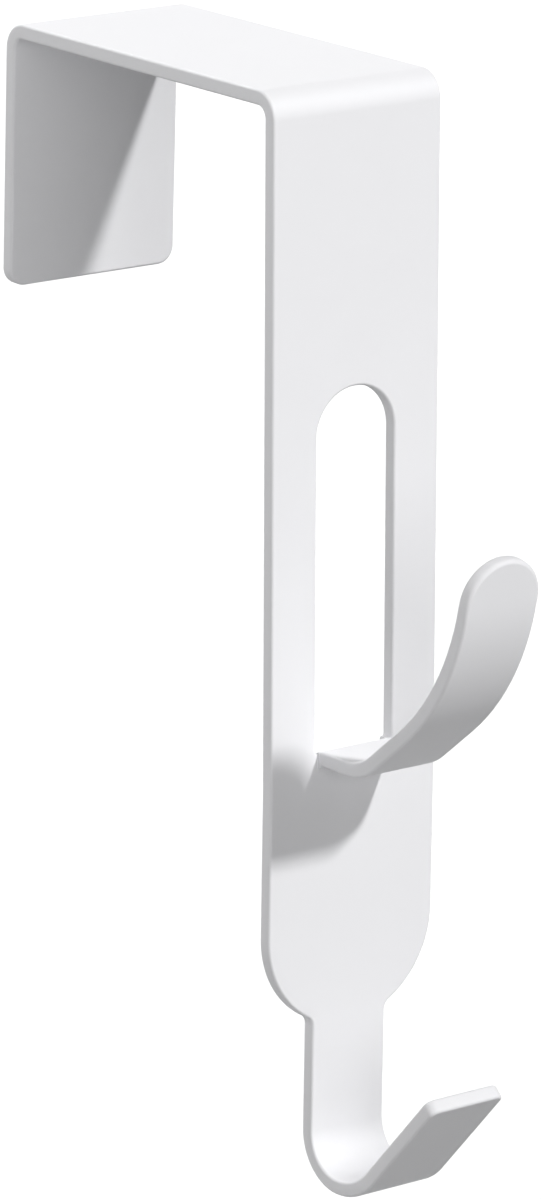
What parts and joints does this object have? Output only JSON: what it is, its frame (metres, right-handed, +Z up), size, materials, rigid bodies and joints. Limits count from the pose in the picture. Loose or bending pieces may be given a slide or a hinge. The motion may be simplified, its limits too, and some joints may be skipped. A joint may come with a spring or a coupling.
{
  "type": "over-door hook",
  "caption": "Over-door hook folded from a steel strip, with a clip for the door's top edge, an upper hook bent out of a slot and a lower hook at the end of a narrow neck.",
  "frame": {"origin": "middle of the underside of the top run, where it sits on the door's top edge", "axes": "+Z up, +X across the strip, -Y to the front of the door, where the hooks stand out"},
  "size_m": [0.02, 0.0672, 0.1083],
  "materials": {
    "white_coat": "satin"
  },
  "bodies": {
    "root": {"door_hook": "white_coat"}
  },
  "joints": []
}
